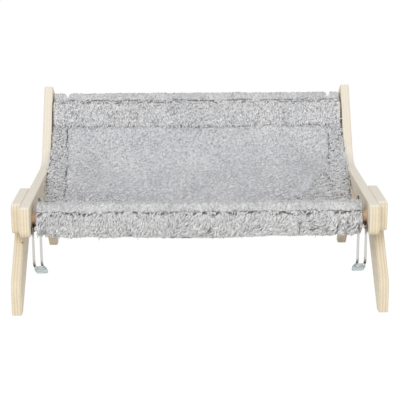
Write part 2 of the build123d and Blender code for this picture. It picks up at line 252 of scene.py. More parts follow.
def put(name, data):
    """A new object in the scene, at the origin."""
    made = bpy.data.objects.new(name, data)
    bpy.context.collection.objects.link(made)
    return made


def new_piece(name, points, faces, pile, slot):
    """A smooth-shaded plush object from arrays of points and of faces of equal sides, with pile as
    a point attribute."""
    mesh = bpy.data.meshes.new(name)
    mesh.vertices.add(len(points))
    mesh.vertices.foreach_set("co", points.astype(np.float32).ravel())
    sides = faces.shape[1]
    mesh.loops.add(faces.size)
    mesh.loops.foreach_set("vertex_index", faces.astype(np.int32).ravel())
    mesh.polygons.add(len(faces))
    mesh.polygons.foreach_set("loop_start", np.arange(0, faces.size, sides, dtype=np.int32))
    mesh.update(calc_edges=True)
    mesh.validate()
    tones = mesh.attributes.new("pile", "FLOAT", "POINT")
    tones.data.foreach_set("value", pile.ravel().astype(np.float32))
    mesh.shade_smooth()
    mesh.materials.append(plushes[slot])
    piece = put(name, mesh)
    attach(piece, "frame")
    return piece


def grid_mesh(name, points, pile, slot, wraps):
    """A closed mesh from a (rings, round, 3) grid. Each ring is closed, and the rings either wrap
    round too or end in flat ones, whose two sides are merged. Faces are turned outwards by the sign
    of the volume that they enclose."""
    rings, around = points.shape[:2]
    r, c = np.meshgrid(np.arange(rings if wraps else rings - 1), np.arange(around), indexing="ij")
    r2, c2 = (r + 1) % rings, (c + 1) % around
    quads = [r * around + c, r2 * around + c, r2 * around + c2, r * around + c2]
    quads = np.stack(quads, -1).reshape(-1, 4)
    flat = points.reshape(-1, 3)
    a, b, c, d = (flat[quads[:, k]] for k in range(4))
    if (a * np.cross(b, c)).sum() + (a * np.cross(c, d)).sum() < 0:
        quads = quads[:, ::-1]
    piece = new_piece(name, flat, quads, pile, slot)
    if not wraps:
        work = bmesh.new()
        work.from_mesh(piece.data)
        bmesh.ops.remove_doubles(work, verts=work.verts, dist=1e-6)
        work.to_mesh(piece.data)
        work.free()
    return piece


def finish(name):
    """A new material with its Principled shader, as (material, tree, shader)."""
    material = bpy.data.materials.new(name)
    material.use_nodes = True
    tree = material.node_tree
    return material, tree, tree.nodes["Principled BSDF"]


def add(tree, kind, settings=None, **inputs):
    """Adds a node. Settings are its own fields; inputs are values or sockets, by the socket's
    name with _ for a space, or by number as n0, n1."""
    node = tree.nodes.new(kind)
    for field, value in (settings or {}).items():
        setattr(node, field, value)
    for label, value in inputs.items():
        numbered = label[0] == "n" and label[1:].isdigit()
        socket = node.inputs[int(label[1:])] if numbered else node.inputs[label.replace("_", " ")]
        if isinstance(value, bpy.types.NodeSocket):
            tree.links.new(value, socket)
        else:
            socket.default_value = value
    return node


def rgba(colour):
    """A grey, or red, green and blue, as a colour of full opacity."""
    return (colour,) * 3 + (1,) if isinstance(colour, float) else (*colour, 1)


def blend(tree, kind, fac, first, second):
    """Mix of two colours, by fac."""
    settings = {"data_type": "RGBA", "blend_type": kind}
    return add(tree, "ShaderNodeMix", settings, n0=fac, n6=first, n7=second).outputs[2]


def ramp(tree, fac, stops):
    """Colour ramp with (place, colour) stops."""
    node = add(tree, "ShaderNodeValToRGB", Fac=fac)
    elements = node.color_ramp.elements
    while len(elements) < len(stops):
        elements.new(1.0)
    for element, (place, colour) in zip(elements, stops):
        element.position = place
        element.color = rgba(colour)
    return node.outputs[0]


def maths(tree, operation, *values):
    """Result of a Math node."""
    inputs = {"n%d" % k: value for k, value in enumerate(values)}
    return add(tree, "ShaderNodeMath", {"operation": operation}, **inputs).outputs[0]


def ranged(tree, value, low, high, to_low=0.0, to_high=1.0, **settings):
    """A value carried from one range to another, and held inside it unless settings say clamp is
    off."""
    inputs = {"n0": value, "n1": low, "n2": high, "n3": to_low, "n4": to_high}
    return add(tree, "ShaderNodeMapRange", settings, **inputs).outputs[0]


def noise(tree, vector, scale, detail, **inputs):
    """Smooth noise from 0 to 1."""
    node = add(tree, "ShaderNodeTexNoise", Vector=vector, Scale=scale, Detail=detail, **inputs)
    return node.outputs["Fac"]


def object_place(tree):
    """Each point's place on the object, in metres."""
    return add(tree, "ShaderNodeTexCoord").outputs["Object"]


def mapped(tree, vector, scale, **inputs):
    """A vector moved, turned and scaled."""
    return add(tree, "ShaderNodeMapping", Vector=vector, Scale=scale, **inputs).outputs[0]


def part(tree, vector, axis):
    """One of a vector's three numbers."""
    return add(tree, "ShaderNodeSeparateXYZ", Vector=vector).outputs[axis]


def dress(tree, shader, colour, height, strength, distance, **values):
    """Gives a shader its colour, a bump from a height, and its other values."""
    tree.links.new(colour, shader.inputs["Base Color"])
    bump = add(tree, "ShaderNodeBump", Strength=strength, Distance=distance, Height=height)
    tree.links.new(bump.outputs[0], shader.inputs["Normal"])
    for label, value in values.items():
        shader.inputs[label.replace("_", " ")].default_value = value


def plush(name, deep, middle, tip, hair_size, hair_height, curl_width, curl_length, slant,
          curl_shade_depth):
    """Plush that lets a little light through. The pile attribute runs from the deep colour, painted
    shade in the creases, to pale tips; a fine noise adds single hairs, and a broad one the soft
    change of tone over the cloth. Dark curls, painted shade between the locks, follow the middle
    value of a bent noise, drawn out along a slant, and come and go in patches."""
    material, tree, shader = finish(name)
    place = object_place(tree)
    pile = add(tree, "ShaderNodeAttribute", {"attribute_name": "pile"}).outputs["Fac"]
    hairs = noise(tree, place, 1 / hair_size, 3.0, Roughness=0.6)
    hair_tone = ramp(tree, hairs, [(0.3, 0.92), (0.7, 1.05)])
    broad = noise(tree, place, 22.0, 2.0)
    broad_tone = ramp(tree, broad, [(0.3, (0.94, 0.945, 0.95)), (0.7, (1.04, 1.035, 1.03))])
    drawn_out = (1 / curl_width, 1 / curl_length, 1 / curl_length)
    drawn_out = mapped(tree, place, drawn_out, Rotation=(0, slant, 0))
    bent = noise(tree, drawn_out, 1.0, 1.0, Distortion=1.2)
    patches = noise(tree, place, 65.0, 1.0)
    # Painted shade: dark curls between the locks, deeper in some patches
    darkest = ranged(tree, patches, 0.40, 0.60, 1 - 0.55 * curl_shade_depth, 1 - curl_shade_depth)
    off_middle = maths(tree, "ABSOLUTE", maths(tree, "SUBTRACT", bent, 0.5))
    curls = ranged(tree, off_middle, 0.01, 0.075, darkest, 1.0, interpolation_type="SMOOTHSTEP")
    painted_curl_shade = add(tree, "ShaderNodeCombineColor", n0=curls, n1=curls, n2=curls).outputs[0]
    colour = ramp(tree, pile, [(0.0, deep), (0.45, middle), (1.0, tip)])
    for tone in (painted_curl_shade, hair_tone, broad_tone):
        colour = blend(tree, "MULTIPLY", 1.0, colour, tone)
    dress(tree, shader, colour, hairs, strength=0.4, distance=hair_height, Roughness=0.9,
          Specular_IOR_Level=0.15, Sheen_Weight=0.2, Sheen_Roughness=0.5, Subsurface_Weight=0.5,
          Subsurface_Radius=(1.0, 1.0, 1.0), Subsurface_Scale=0.0012)
    return material


def plywood():
    """Birch plywood, with painted light that makes it paler where it faces up and on the posts. A
    side that looks along X is veneer, with grain stretched along the board; elsewhere the plies
    show as bands across X, pale and tan in turn with thin glue lines, and one small knot on the
    left leg."""
    material, tree, shader = finish("birch_plywood")
    coordinates = add(tree, "ShaderNodeTexCoord")
    place, normal = coordinates.outputs["Object"], coordinates.outputs["Normal"]
    on_side = ranged(tree, maths(tree, "ABSOLUTE", part(tree, normal, 0)), 0.6, 0.85)

    out = maths(tree, "ABSOLUTE", part(tree, place, 0))
    out = maths(tree, "MULTIPLY_ADD", noise(tree, place, 18.0, 1.0), 0.0006, out)
    outer_x = board_x + board_thickness
    plies = ranged(tree, out, board_x, outer_x, 0.0, ply_count, clamp=False)
    cream, tan, glue = (0.755, 0.672, 0.532), (0.68, 0.575, 0.425), (0.58, 0.455, 0.31)
    layers = ramp(tree, maths(tree, "PINGPONG", plies, 1.0), [
        (0.0, glue), (0.08, tan), (0.42, tan), (0.60, cream), (1.0, cream)])
    from_knot = mapped(tree, place, (1 / knot_width, 0, 1 / knot_height),
                       Location=(-knot_x / knot_width, 0, -knot_z / knot_height))
    from_knot = add(tree, "ShaderNodeVectorMath", {"operation": "LENGTH"}, n0=from_knot)
    knot = ramp(tree, from_knot.outputs["Value"], [
        (0.0, (0.50, 0.30, 0.16)), (0.55, (0.66, 0.44, 0.25)), (1.0, 1.0)])
    layers = blend(tree, "MULTIPLY", 1.0, layers, knot)

    grain = noise(tree, mapped(tree, place, (60.0, 22.0, 260.0)), 1.0, 4.0, Distortion=0.6)
    veneer = ramp(tree, grain, [
        (0.25, (0.78, 0.68, 0.54)), (0.55, (0.85, 0.77, 0.64)), (0.8, (0.88, 0.81, 0.70))])
    colour = blend(tree, "MIX", on_side, layers, veneer)
    fleck = noise(tree, place, 700.0, 2.0)
    fleck = ramp(tree, fleck, [(0.3, (0.94, 0.93, 0.91)), (0.7, 1.04)])
    colour = blend(tree, "MULTIPLY", 1.0, colour, fleck)

    # Painted light: a mix towards a pale colour where a side faces up and high on the posts
    post_painted_light = ranged(tree, part(tree, place, 2), 0.125, 0.140, 0.0, 0.3)
    level = maths(tree, "ADD", part(tree, normal, 2), post_painted_light)
    level = ranged(tree, level, 0.75, 0.9, 0.0, 0.70)
    colour = blend(tree, "MIX", level, colour, rgba((0.87, 0.835, 0.765)))
    dress(tree, shader, colour, grain, strength=0.25, distance=0.0003, Roughness=0.62,
          Specular_IOR_Level=0.3)
    return material


def dowel_wood():
    """Turned beech, with grain stretched along X, and painted shade that darkens the front dowel
    low down.
    """
    material, tree, shader = finish("beech_dowel")
    place = object_place(tree)
    grain = noise(tree, mapped(tree, place, (20.0, 300.0, 300.0)), 1.0, 4.0)
    colour = ramp(tree, grain, [(0.3, (0.48, 0.31, 0.20)), (0.7, (0.66, 0.48, 0.33))])
    # Painted shade: dark low on the front dowel
    shade_low, shade_high = front_dowel[2] - 0.004, front_dowel[2] + 0.001
    painted_shade = ranged(tree, part(tree, place, 2), shade_low, shade_high, 0.9, 0.0)
    colour = blend(tree, "MIX", painted_shade, colour, rgba((0.10, 0.065, 0.045)))
    dress(tree, shader, colour, grain, strength=0.3, distance=0.0003, Roughness=0.6)
    return material


def steel(name, colour, roughness):
    """Drawn or turned steel, with faint streaks and small changes of gloss."""
    material, tree, shader = finish(name)
    streaks = noise(tree, object_place(tree), 900.0, 3.0)
    tone = ramp(tree, streaks, [(0.3, tuple(0.86 * c for c in colour)), (0.7, colour)])
    tree.links.new(tone, shader.inputs["Base Color"])
    gloss = ranged(tree, streaks, 0.0, 1.0, roughness * 0.8, roughness * 1.3)
    tree.links.new(gloss, shader.inputs["Roughness"])
    shader.inputs["Metallic"].default_value = 1.0
    return material


def wire_steel(low, high):
    """Bright drawn wire between two heights, dark at its bends and where it goes round the pin, by
    painted shade and painted dark reflections."""
    material = steel("bright_steel", (0.70, 0.695, 0.68), 0.22)
    tree = material.node_tree
    base = tree.nodes["Principled BSDF"].inputs["Base Color"]
    # Painted shade and painted dark reflections at the bends and round the pin
    painted_shade_and_reflection = ramp(tree, ranged(tree, part(tree, object_place(tree), 2), low, high), [
        (0.0, (0.62, 0.64, 0.62)), (0.045, (0.14, 0.16, 0.15)), (0.10, (0.22, 0.23, 0.21)),
        (0.16, 1.0), (0.72, 1.0), (0.88, (0.42, 0.36, 0.32)), (1.0, (0.20, 0.15, 0.12))])
    bright = base.links[0].from_socket
    tree.links.new(blend(tree, "MULTIPLY", 1.0, bright, painted_shade_and_reflection), base)
    return material


def vinyl():
    """Clear soft sleeve with a pale blue-grey tint and a slightly uneven skin."""
    material, tree, shader = finish("clear_vinyl")
    skin = noise(tree, object_place(tree), 500.0, 2.0)
    tone = ramp(tree, skin, [(0.3, (0.72, 0.80, 0.81)), (0.7, (0.80, 0.87, 0.88))])
    dress(tree, shader, tone, skin, strength=0.2, distance=0.0002, Roughness=0.22,
          Transmission_Weight=0.55, IOR=1.4)
    return material


def sling_line(x, share):
    """Side view of the sling at each x, with share from 0 at the rear seam to 1 at the front one:
    three straight runs whose two bends sag by 1 - (x / half width)² and are rounded by a
    quadratic blend over a reach either side. Gives y, z, the unit normal that points up, and the
    distance along the line."""
    sag = middle_sag * np.clip(1 - (x / sheet_half) ** 2, 0, 1)
    up = (math.sin(post_lean), math.cos(post_lean))
    rear_seam = [rear_dowel[k + 1] - rear_seam_drop * up[k] for k in (0, 1)]
    corners = np.stack([
        np.stack([0 * sag + y, z - share_of_sag * sag], -1) for y, z, share_of_sag in (
            (*rear_seam, 0), (*back_bend, back_sag_share), (*seat_bend, 1),
            (front_dowel[1] + front_seam[0], front_dowel[2] + front_seam[1], 0))
    ], -2)
    runs = np.diff(corners, axis=-2)
    lengths = np.linalg.norm(runs, axis=-1)
    ways = runs / lengths[..., None]
    place = share * lengths.sum(-1)
    point = corners[..., 0, :] + ways[..., 0, :] * place[..., None]
    way = ways[..., 0, :] + 0 * point
    start = 0
    for bend, reach in ((1, back_bend_reach), (2, seat_bend_reach)):
        start = start + lengths[..., bend - 1]
        past = place - start
        turn = ways[..., bend, :] - ways[..., bend - 1, :]
        eased = np.where(past > reach, past, np.clip(past + reach, 0, None) ** 2 / (4 * reach))
        point = point + turn * eased[..., None]
        way = way + turn * np.clip((past + reach) / (2 * reach), 0, 1)[..., None]
    way = way / np.linalg.norm(way, axis=-1, keepdims=True)
    return point[..., 0], point[..., 1], way[..., 1], -way[..., 0], place


def rounded_across(width, spacing, edge):
    """Distances across a cloth of the given width, with how full it is at each: 1 inside, and
    falling along a quarter circle to 0 at both edges."""
    turn = np.linspace(0, math.pi / 2, 7)[:-1]
    rim, full = edge * (1 - np.cos(turn)), np.sin(turn)
    inside = np.linspace(edge, width - edge, max(int((width - 2 * edge) / spacing), 2))
    across = np.concatenate([rim, inside, width - rim[::-1]])
    return across, np.concatenate([full, np.ones(len(inside)), full[::-1]])


def cloth(name, inner, outer, low, high, spacing, face, relief, slot):
    """A sheet of the sling between two edges, each a function of the share along it, with its skin
    at height low and high over the sling's line. Relief(x, place) gives height and pile, for its
    upper face (1) or its lower face (-1)."""
    width = abs(outer(0.0) - inner(0.0))
    across, full = rounded_across(width, spacing, min(0.5 * (high - low), width / 3))
    full = full[:, None]
    top = np.linspace(0, 1, int(sling_length / spacing))
    share = np.concatenate([top, top[::-1]])[None, :] + 0 * across[:, None]
    is_top = (np.arange(share.shape[1]) < len(top))[None, :]
    x = inner(share) + (outer(share) - inner(share)) * (across / width)[:, None]
    y, z, normal_y, normal_z, place = sling_line(x, share)
    height, pile = relief(x, place)
    furry = is_top if face > 0 else ~is_top
    rise = np.where(furry, height, 0)
    middle = (low + high) / 2
    h = np.where(is_top, high - middle + rise, low - middle - rise) * full + middle
    points = np.stack([x, y + h * normal_y, z + h * normal_z], -1)
    # Painted shade: the pile darkens towards the rounded edges at the seams
    return grid_mesh(name, points, np.where(furry, pile, 0.4) * (0.35 + 0.65 * full), slot, False)


def placed(x, back, up, spot, lean):
    """Points given in (back, up) of a dowel whose casing leans back by an angle."""
    y = spot[1] + back * math.cos(lean) + up * math.sin(lean)
    z = spot[2] - back * math.sin(lean) + up * math.cos(lean)
    return np.stack([x, y, z], -1)


def casing(name, outline, spot, lean, half, shape, shade):
    """A casing round a dowel: its outline carried along X, changed by shape(x, back, up) and raised
    by casing_relief, with its ends turned in to the bore, which runs back through it. Gives the
    piece and the grids that its pile is sown by: points, normals, the way down from the stitched
    groove, x, up, back, and how clear of its neighbours each lump stands."""
    around_length = np.linalg.norm(outline - np.roll(outline, 1, 0), axis=1).sum()
    count = int(around_length / casing_spacing)
    loop, place = smooth_loop(outline, count)
    x = np.linspace(-half, half, int(2 * half / casing_spacing))
    grid_x = x[:, None] + 0 * place[None, :]
    grid_back, grid_up = (loop[None, :, k] + 0 * grid_x for k in (0, 1))
    back, up = shape(grid_x, grid_back, grid_up)
    points = placed(grid_x, back, up, spot, lean)
    height, clear = casing_relief(grid_x, place[None, :] + 0 * grid_x, grid_up)
    points = points + turned_out(points) * height[..., None]

    turn = np.arctan2(loop[:, 1], loop[:, 0])
    bore_back = bore_radius * np.cos(turn)
    bore_up = bore_radius * np.sin(turn) + np.minimum(loop[:, 1], 0) * 0.35
    rings = [points]
    for side, edge in ((-1, points[:1]), (1, points[-1:])):
        bore_x = np.full(count, side * (half - bore_inset))
        bore = placed(bore_x, bore_back, bore_up, spot, lean)[None]
        rolled = edge + (bore - edge) * end_turn + np.array([side * end_swell, 0, 0])
        rings = [bore, rolled] + rings if side < 0 else rings + [rolled, bore]
    # Painted shade: dark turned-in ends round the bore, and darker pile in the creases between
    # lumps
    dark = np.full((1, count), 0.12)
    pile = shade(grid_x, grid_up) * (0.35 + 0.65 * clear)
    tones = np.concatenate([dark, 2 * dark, pile, 2 * dark, dark])
    piece = grid_mesh(name, np.concatenate(rings), tones, "long_plush", True)

    around = np.roll(points, -1, 1) - np.roll(points, 1, 1)
    away = np.where(grid_up < pinch_up, 1, -1) * np.where(grid_back < 0, 1, -1)
    down = around * away[..., None] / np.linalg.norm(around, axis=2, keepdims=True)
    return piece, (points, turned_out(points), down, grid_x, grid_up, grid_back, clear)


def sown(rows, columns, seed):
    """A seed in each cell of a rows by columns lattice, at a hashed spot in its cell, as shares of
    both sides from 0 to 1."""
    i, j = (a.ravel() for a in np.meshgrid(np.arange(rows), np.arange(columns), indexing="ij"))
    return (i + hashed(i, j, seed)) / rows, (j + hashed(i, j, seed + 1)) / columns


def between(grid, u, v):
    """Values of a grid at shares u along it and v round it, blended from its four neighbours."""
    rows, columns = grid.shape[:2]
    i, j = u * (rows - 1), v * columns
    i0, j0 = np.minimum(np.floor(i).astype(int), rows - 2), np.floor(j).astype(int) % columns
    s, t = i - i0, j - np.floor(j)
    if grid.ndim == 3:
        s, t = s[:, None], t[:, None]
    near = grid[i0, j0] * (1 - s) + grid[i0 + 1, j0] * s
    far = grid[i0, (j0 + 1) % columns] * (1 - s) + grid[i0 + 1, (j0 + 1) % columns] * s
    return near * (1 - t) + far * t


def tufts(name, roots, normals, flow, swirl, long, wide, stand, tone, smooth, seed, steps, slot):
    """Pile as locks. Each is a closed three-sided tube that narrows to a tip along the curve
    root + long · (stand · (1.7t - t²) · normal + (0.25t + 0.6t²) · way + curl · t² · side), with t
    from 0 to 1 and way the flow turned by swirl round the normal. The steps give each ring a pale
    ridge and darker sides, and a darker root, as painted shade between the locks. Where smooth is 1
    the sides are nearly as pale as the ridge."""
    k = np.arange(len(roots))

    def draw(which):
        """A fixed number from 0 to 1 for each lock."""
        return hashed(k, 0 * k + which, seed)

    normals = unit(normals)
    flow = unit(flow - normals * (flow * normals).sum(1, keepdims=True))
    side = np.cross(normals, flow)
    turn = (swirl + 0.45 * (draw(0) - 0.5))[:, None]
    way = flow * np.cos(turn) + side * np.sin(turn)
    side = np.cross(normals, way)
    curl = (draw(1) - 0.5)[:, None]
    size = (long * (0.75 + 0.5 * draw(2)))[:, None]
    lift = (stand * (0.7 + 0.6 * draw(3)))[:, None]
    half = (wide * (0.7 + 0.6 * draw(4)) / 2)[:, None]
    shade = tone * (0.93 + 0.14 * draw(5))
    rings, shades = [], []
    for t, thick, light, beside in steps:
        rise = lift * (1.7 * t - t * t) * normals
        spot = roots - root_depth * normals
        spot = spot + size * (rise + (0.25 * t + 0.6 * t * t) * way + curl * t * t * side)
        if thick:
            r = half * thick
            low = spot - 0.4 * r * normals
            rings += [spot + 0.75 * r * normals, low + 0.87 * r * side, low - 0.87 * r * side]
            side_shade = (beside + 0.6 * smooth * (light - beside)) * shade
            shades += [light * shade, side_shade, side_shade]
        else:
            rings.append(spot)
            shades.append(light * shade)
    points = np.stack(rings, 1)
    tip = points.shape[1] - 1
    sides = [(0, 2, 1)]
    for ring in range(0, tip - 3, 3):
        for a, b in ((0, 1), (1, 2), (2, 0)):
            sides += [(ring + a, ring + b, ring + 3 + b), (ring + a, ring + 3 + b, ring + 3 + a)]
    sides += [(tip - 3, tip - 2, tip), (tip - 2, tip - 1, tip), (tip - 1, tip - 3, tip)]
    faces = np.array(sides)[None] + (tip + 1) * k[:, None, None]
    p = points[0]
    if sum(np.dot(p[a], np.cross(p[b], p[c])) for a, b, c in sides) < 0:
        faces = faces[..., ::-1]
    tones = np.stack(shades, 1)
    return new_piece(name, points.reshape(-1, 3), faces.reshape(-1, 3), tones, slot)


def standing(count, seed, share):
    """Which of the seeds stand, each with its own chance."""
    k = np.arange(count)
    return hashed(k, 0 * k + 9, seed) < share


def casing_tufts(name, grids, keep, long, wide, stand, tone, swirl, steps, seed):
    """Locks sown over a casing. Keep, long, stand, tone and swirl are functions of (x, up,
    back)."""
    points, normals, down, grid_x, grid_up, grid_back, grid_clear = grids
    around = np.linalg.norm(np.roll(points, -1, 1) - points, axis=2).sum(1).mean()
    rows, columns = int(2 * grid_x.max() / casing_pile_spacing), int(around / casing_pile_spacing)
    u, v = sown(rows, columns, seed)
    x, up, back, clear = (between(g, u, v) for g in (grid_x, grid_up, grid_back, grid_clear))
    kept = standing(len(u), seed, keep(x, up, back) * clear)
    u, v, x, up, back, clear = (a[kept] for a in (u, v, x, up, back, clear))
    roots, outwards, flow = (between(g, u, v) for g in (points, normals, down))
    smooth = 0.55 * np.clip((up - pinch_up) / 0.004, 0, 1)
    # Locks rooted in the creases between lumps are darker, as painted shade
    return tufts(
        name, roots, outwards, flow, swirl(x, up, back), long(x, up, back) * (0.85 + 0.3 * clear),
        wide, stand(x, up, back), tone(x, up, back) * (0.82 + 0.18 * clear), smooth, seed + 2,
        steps, "long_plush")


def sheet_tufts(name, inner, outer, height, face, spacing, relief, long, wide, stand, tone, swirl,
                seed, slot, keep=1.0, steps=long_steps):
    """Locks sown over a sheet of the sling, on its upper face (1) or lower face (-1), fewer where
    the relief is dark. Tone is a function of (x, share), and swirl is the turn, size and seed of
    clouds over the sheet."""
    rows, columns = int(sling_length / spacing), int(abs(outer(0.5) - inner(0.5)) / spacing)
    share, across = sown(rows, columns, seed)
    x = inner(share) + (outer(share) - inner(share)) * (0.004 + 0.992 * across)
    lump, shade = relief(x, sling_line(x, share)[4])
    kept = standing(len(x), seed, keep * np.clip(0.3 + 1.6 * shade, 0, 1))
    x, share, lump = x[kept], share[kept], lump[kept]
    y, z, normal_y, normal_z, place = sling_line(x, share)
    rise = height + face * lump
    roots = np.stack([x, y + rise * normal_y, z + rise * normal_z], 1)
    normals = face * np.stack([0 * x, normal_y, normal_z], 1)
    flow = np.stack([0 * x, -normal_z, normal_y], 1)
    turn, size, cloud_seed = swirl
    turn = turn * clouds(x, sling_length * share, size, cloud_seed)
    return tufts(
        name, roots, normals, flow, turn, long + 0 * x, wide, stand + 0 * x, tone(x, share), 0 * x,
        seed + 2, steps, slot)


def bump_at(value, middle, reach):
    """1 at the middle, falling to 0 away from it as exp(-((value - middle) / reach)²)."""
    return np.exp(-(((value - middle) / reach) ** 2))


def along_x(x, size, seed):
    """Clouds that change along X alone."""
    return clouds(x, 0 * x, size, seed)


def dashes(x, size, seed):
    """A stitched line's uneven depth along X, from 0 to 1."""
    return np.clip(0.66 + 1.5 * along_x(x, size, seed), 0, 1)


def folds(x, up):
    """Depth from 0 to 1 of the front casing's creases: slanted ones, which follow the zero lines of
    clouds stretched down to the right, and two deep ones near the right end."""
    across, along = 0.839 * x + 0.545 * up, 0.545 * x - 0.839 * up
    crease = bump_at(clouds(across, 0.22 * along, 0.0070, 41), 0, 0.13)
    where = np.clip((x + 0.03) / 0.05, 0.35, 1) * np.clip((0.007 - up) / 0.006, 0, 1)
    where = where * (1 - 0.45 * np.clip((x - 0.13) / 0.03, 0, 1))
    deep = 0 * x
    for fold_x, bow in deep_folds:
        line = fold_x + bow * np.sin((up + 0.004) / 0.0060)
        fold = bump_at(x, line, 0.0025) * np.clip((0.004 - up) / 0.008, 0, 1)
        deep = np.maximum(deep, fold)
    return crease * where * (1 - deep), deep


def front_shape(x, back, up):
    """Ruffles that grow down the face, creases between them, two deep folds and a scalloped hem. At
    both ends the lower front corner is cut off along back + up = swing_line, where the hooks
    swing."""
    lower = np.clip((0.008 - up) / 0.022, 0, 1)
    wave = clouds(x + 0.65 * up, 0.3 * up, 0.017, 43) + 0.4 * clouds(x, 0.2 * up, 0.009, 42)
    crease, deep = folds(x, up)
    swell = ruffle_height * wave * lower - crease_depth * crease - deep_fold_depth * deep
    facing_front = np.clip(-back / 0.010, -1, 1)
    under = np.clip(-up / 0.02, 0, 1)
    scallop = 0.0009 * along_x(x, 0.019, 44) * under
    top = 0.0006 * along_x(x, 0.013, 45) * np.clip((up - 0.012) / 0.006, 0, 1)
    stitch = 0.0013 * along_x(x, 0.006, 48) * bump_at(up, pinch_up, 0.004)
    back = back - np.where(back < 0, swell * facing_front, 0)
    up = up + scallop + top + stitch - 0.3 * np.minimum(swell, 0) * under
    near_end = np.clip((np.abs(x) - hook_room) / 0.0014, 0, 1)
    cut = np.maximum(swing_line - back - up, 0) * near_end / 2
    return back + cut, up + cut


def casing_relief(x, place, up):
    """Locks of curled pile, lower on the headers. Gives their height and how clear each stands."""
    tall, clear = locks(x, place, casing_lock, 7)
    header = np.clip((up - pinch_up) / 0.003, 0, 1)
    return (0.0022 - 0.0010 * header) * tall, np.clip(clear / 0.16 + 0.35 * header, 0, 1)


def front_groove(x, up):
    """Depth of the stitched line under the front header, two creases that wander a little, the
    lower one broken."""
    wander = 0.0009 * along_x(x, 0.022, 46) + 0.0012 * along_x(x, 0.0045, 47)
    upper = bump_at(up, pinch_up + 0.0003 + wander, 0.0011)
    upper = upper * np.minimum(1, 0.25 + dashes(x, 0.0042, 8))
    lower = bump_at(up, pinch_up - 0.0022 - wander, 0.0011) * dashes(x, 0.0055, 9)
    return np.maximum(upper, lower)


def calm(up):
    """How freely the locks turn: hardly beside a stitched line, where they comb away from it."""
    return np.clip(np.abs(up - pinch_up) / 0.007, 0.12, 1)


def front_swirl(x, up, back):
    """Turn of the front locks from straight down: combed down to the right on the face, more so
    right of the middle, with waves and single curls over that."""
    slant = np.where(back < 0, 0.30 + 0.42 * np.clip((x + 0.04) / 0.06, 0, 1), 0)
    waves = 0.6 * clouds(x, up, 0.012, 71) + 0.5 * clouds(x, up, 0.005, 72)
    return -slant * calm(up) + calm(up) * waves


def over_rods(x, up, back):
    """1 where the front casing's face is over a hook's inner rod, 0 elsewhere."""
    return (np.abs(x) > hook_rod) * (up > -0.0100) * (up < 0.001) * (back < 0)


def in_hook_way(x, up):
    """1 where the front casing leaves room for a swinging hook, 0 elsewhere."""
    return (np.abs(x) > hook_room - 0.0006) * (up < -0.0100)


def front_long(x, up, back):
    """Length of the front locks: longest over the hooks' rods, shorter on the header, under the
    roll and beside the deep folds, and shortest where the hooks swing."""
    beside = np.maximum(*(bump_at(x, fold_x, 0.0050) for fold_x, bow in deep_folds)) * (up < 0.004)
    plain = 0.0072 - 0.0034 * (up > pinch_up) - 0.0030 * (up < roll_up) - 0.0030 * beside
    return np.where(in_hook_way(x, up), 0.0032, plain + 0.0038 * over_rods(x, up, back))


def front_stand(x, up, back):
    """How steeply the front locks rise: low on the header and under the roll, steeply over the
    hooks' rods."""
    return 0.24 - 0.06 * (up > pinch_up) - 0.08 * (up < roll_up) + 0.28 * over_rods(x, up, back)


def front_tone(x, up, back):
    """Tone of the front pile: painted shade makes it darker on the header and in the creases, and
    painted light makes it palest under the roll.
    """
    crease, deep = folds(x, up)
    plain = 0.94 - 0.40 * (up > pinch_up) + 0.16 * np.clip((-up - 0.008) / 0.008, 0, 1)
    return plain * (1 - 0.5 * crease * (back < 0))


def front_shade(x, up):
    """Tone of the cloth under the pile, with painted shade at the stitched line and in the folds.
    """
    crease, deep = folds(x, up)
    return 0.50 * (1 - 0.95 * front_groove(x, up)) * (1 - 0.85 * crease) * (1 - 0.75 * deep)


def front_keep(x, up, back):
    """Share of the locks that stand: few at the stitched line and in the folds."""
    crease, deep = folds(x, up)
    bare = np.maximum(np.maximum(0.96 * front_groove(x, up), 0.75 * deep), 0.85 * crease)
    return 1 - (back < 0) * bare


def tousle(x, up):
    """1 in the one place on the rear casing where the pile is ruffled, 0 away from it."""
    return bump_at(x, -0.088, 0.013) * bump_at(up, -0.011, 0.009)


def rear_swirl(x, up, back):
    """Turn of the rear locks: waves and curls, and every way where the pile is ruffled."""
    waves = 1.0 * clouds(x, up, 0.011, 81) + 0.7 * clouds(x, up, 0.0045, 82)
    return calm(up) * waves + 4 * tousle(x, up) * clouds(x, up, 0.0035, 83)


def notches(x, reach):
    """1 at the middle of each notch in the rear header, 0 beyond its reach."""
    return np.maximum(*(np.clip(1 - np.abs(x - middle) / reach, 0, 1) for middle in notch_places))


def rear_shape(x, back, up):
    """A soft wave along the header, a hem that hangs lower in the middle, and a notch in the header
    over each side seam."""
    header = np.clip((up - pinch_up) / 0.012, 0, 1)
    hem = np.clip((-up - 0.006) / 0.020, 0, 1)
    dip = 0.0022 * (1 - (x / rear_half) ** 2) + 0.0006 * along_x(x, 0.016, 52)
    header_dip = notch_depth * notches(x, 0.0034) + 0.0004 * along_x(x, 0.012, 51)
    up = up - header * header_dip - hem * dip
    up = up + 0.0010 * along_x(x, 0.007, 57) * bump_at(up, pinch_up, 0.004)
    return back * (1 + 0.03 * clouds(x, up, 0.030, 53)), up


def rear_groove(x, up):
    """Depth of the stitched line under the rear header, which wanders a little, and of the weaker
    broken crease that runs below it."""
    wander = 0.0009 * along_x(x, 0.028, 54) + 0.0005 * along_x(x, 0.007, 55) - 0.0008
    line = bump_at(up, pinch_up + wander, 0.0023) * np.minimum(1, 0.30 + dashes(x, 0.0075, 18))
    below = bump_at(up, pinch_up - 0.0048 + wander, 0.0011)
    return np.maximum(line, 0.85 * below * dashes(x, 0.0065, 19))


def rear_long(x, up, back):
    """Length of the rear locks, shorter on the header and near the hem."""
    return 0.0058 - 0.0022 * (up > pinch_up) - 0.0008 * (up < -0.020)


def rear_stand(x, up, back):
    """How steeply the rear locks rise, lower on the header."""
    return 0.24 - 0.06 * (up > pinch_up)


